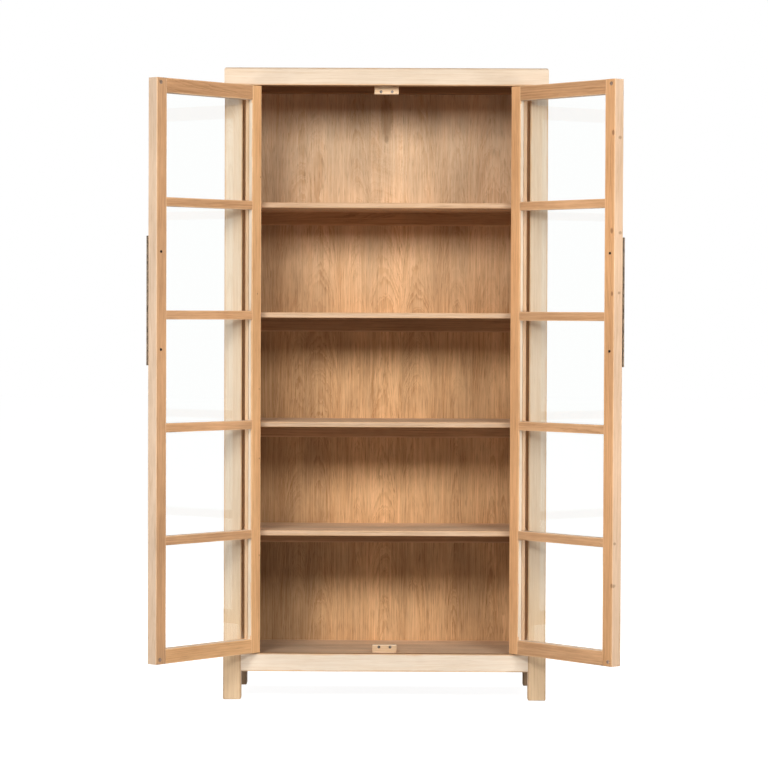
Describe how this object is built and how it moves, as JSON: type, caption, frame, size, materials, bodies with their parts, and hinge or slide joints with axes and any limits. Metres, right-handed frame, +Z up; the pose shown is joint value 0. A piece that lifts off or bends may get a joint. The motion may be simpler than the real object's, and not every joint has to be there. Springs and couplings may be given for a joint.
{
  "type": "display cabinet",
  "caption": "Tall free-standing wooden display cabinet with open shelves behind two inset glazed doors, each with glazing bars, a long pull and a magnetic catch.",
  "frame": {"origin": "middle of the bounding box's base with both doors open as pictured, on the floor", "axes": "+X to the right seen from the front, +Y towards the back, +Z up; the open front faces -Y"},
  "size_m": [1.4316, 0.7262, 1.955],
  "materials": {
    "pale_wood": "bleached, matt, fine straight grain",
    "brown_wood": "oiled, matt, open flame grain",
    "door_wood": "waxed, satin, straight grain with a few knots",
    "glass": "clear polished float glass",
    "bronze": "dark bronze patina, satin",
    "brass": "turned, plain",
    "steel": "zinc plated",
    "dark_steel": "blackened"
  },
  "bodies": {
    "carcass": {"post_front_left": "pale_wood", "post_front_right": "pale_wood", "post_back_left": "pale_wood", "post_back_right": "pale_wood", "top_rail_front": "pale_wood", "top_rail_back": "pale_wood", "top_rail_left": "pale_wood", "top_rail_right": "pale_wood", "top_panel": "pale_wood", "bottom_rail_front": "pale_wood", "bottom_rail_back": "pale_wood", "bottom_rail_left": "pale_wood", "bottom_rail_right": "pale_wood", "floor_board": "brown_wood", "side_panel_left": "brown_wood", "side_panel_right": "brown_wood", "back_panel": "brown_wood", "shelf_1": "brown_wood", "shelf_2": "brown_wood", "shelf_3": "brown_wood", "shelf_4": "brown_wood", "shelf_rail_1": "brown_wood", "shelf_rail_2": "brown_wood", "shelf_rail_3": "brown_wood", "shelf_rail_4": "brown_wood", "catch_block_top": "pale_wood", "catch_block_bottom": "pale_wood", "catch_magnets": "dark_steel", "catch_screws": "steel", "pivot_bushes": "brass"},
    "left_door": {"left_door_hinge_stile": "door_wood", "left_door_meeting_stile": "door_wood", "left_door_top_rail": "door_wood", "left_door_bottom_rail": "door_wood", "left_door_muntin_1": "door_wood", "left_door_muntin_2": "door_wood", "left_door_muntin_3": "door_wood", "left_door_muntin_4": "door_wood", "left_door_glass": "glass", "left_door_pivot_pins": "steel", "left_door_pull_bar": "bronze", "left_door_pull_posts": "bronze", "left_door_pull_screws": "dark_steel", "left_door_strike_discs": "steel"},
    "right_door": {"right_door_hinge_stile": "door_wood", "right_door_meeting_stile": "door_wood", "right_door_top_rail": "door_wood", "right_door_bottom_rail": "door_wood", "right_door_muntin_1": "door_wood", "right_door_muntin_2": "door_wood", "right_door_muntin_3": "door_wood", "right_door_muntin_4": "door_wood", "right_door_glass": "glass", "right_door_pivot_pins": "steel", "right_door_pull_bar": "bronze", "right_door_pull_posts": "bronze", "right_door_pull_screws": "dark_steel", "right_door_strike_discs": "steel"}
  },
  "joints": [
    {"name": "left_door_hinge", "type": "hinge", "parent": "carcass", "child": "left_door", "pos_m": [-0.421, -0.03295, 1.022], "axis": [0, 0, -1], "range_deg": [-132, 4]},
    {"name": "right_door_hinge", "type": "hinge", "parent": "carcass", "child": "right_door", "pos_m": [0.421, -0.03295, 1.022], "axis": [0, 0, 1], "range_deg": [-132, 4]}
  ]
}
